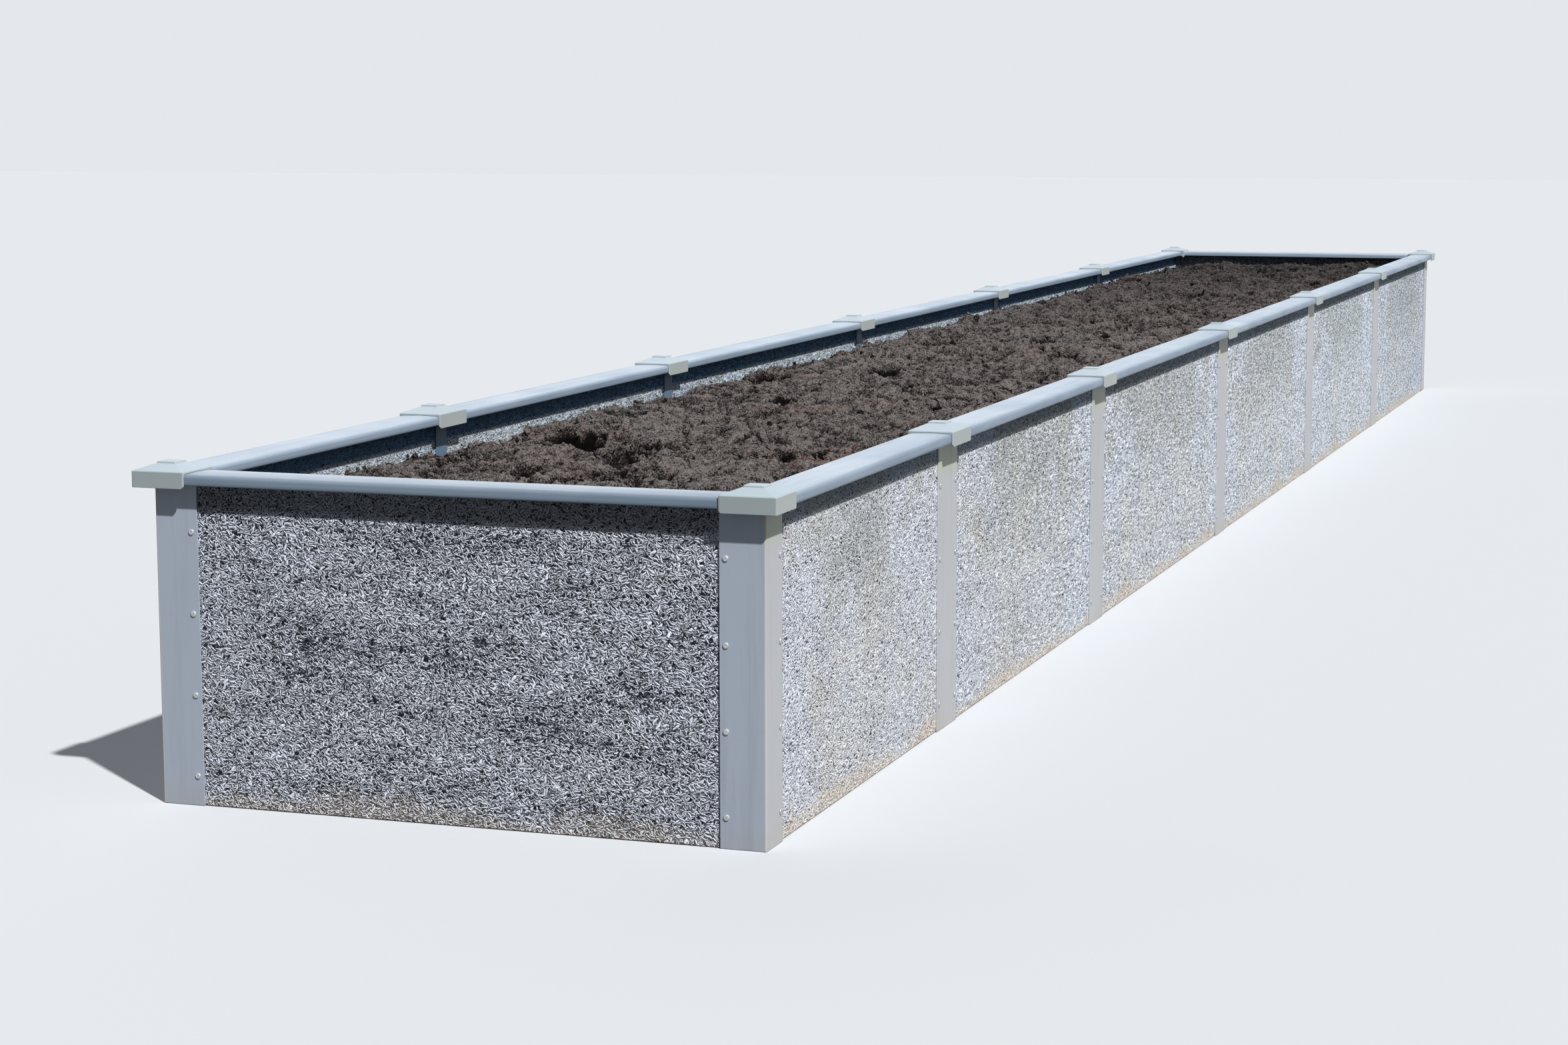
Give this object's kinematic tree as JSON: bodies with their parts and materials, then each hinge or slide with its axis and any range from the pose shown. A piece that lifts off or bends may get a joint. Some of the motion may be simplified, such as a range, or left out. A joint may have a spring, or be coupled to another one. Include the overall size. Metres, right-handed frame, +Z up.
{
  "type": "raised garden bed",
  "caption": "Long rectangular raised garden bed: wood-wool cement boards held in slotted posts, closed by hollow top rails with hipped slip-over caps at the posts, filled with soil.",
  "frame": {"origin": "on the ground, under the middle of the bed: the centre of the underside of the bounding box", "axes": "+Z up; +Y along the bed's length, from the end with the short bays (near) to the other end (far); +X across the bed, to the right when looking along +Y"},
  "size_m": [1.0508, 7.7708, 0.5381],
  "materials": {
    "post": "satin",
    "cap": "satin",
    "board": "matte",
    "rail": "satin",
    "soil": "matte"
  },
  "bodies": {
    "root": {"near_left_corner_post": "post", "near_right_corner_post": "post", "far_left_corner_post": "post", "far_right_corner_post": "post", "left_post_1": "post", "left_post_2": "post", "left_post_3": "post", "left_post_4": "post", "left_post_5": "post", "right_post_1": "post", "right_post_2": "post", "right_post_3": "post", "right_post_4": "post", "right_post_5": "post", "near_left_corner_cap": "cap", "near_right_corner_cap": "cap", "far_left_corner_cap": "cap", "far_right_corner_cap": "cap", "left_cap_1": "cap", "left_cap_2": "cap", "left_cap_3": "cap", "left_cap_4": "cap", "left_cap_5": "cap", "right_cap_1": "cap", "right_cap_2": "cap", "right_cap_3": "cap", "right_cap_4": "cap", "right_cap_5": "cap", "near_board": "board", "far_board": "board", "left_board_1": "board", "left_board_2": "board", "left_board_3": "board", "left_board_4": "board", "left_board_5": "board", "left_board_6": "board", "right_board_1": "board", "right_board_2": "board", "right_board_3": "board", "right_board_4": "board", "right_board_5": "board", "right_board_6": "board", "near_rail": "rail", "far_rail": "rail", "left_rail_1": "rail", "left_rail_2": "rail", "left_rail_3": "rail", "left_rail_4": "rail", "left_rail_5": "rail", "left_rail_6": "rail", "right_rail_1": "rail", "right_rail_2": "rail", "right_rail_3": "rail", "right_rail_4": "rail", "right_rail_5": "rail", "right_rail_6": "rail", "soil": "soil"}
  },
  "joints": []
}
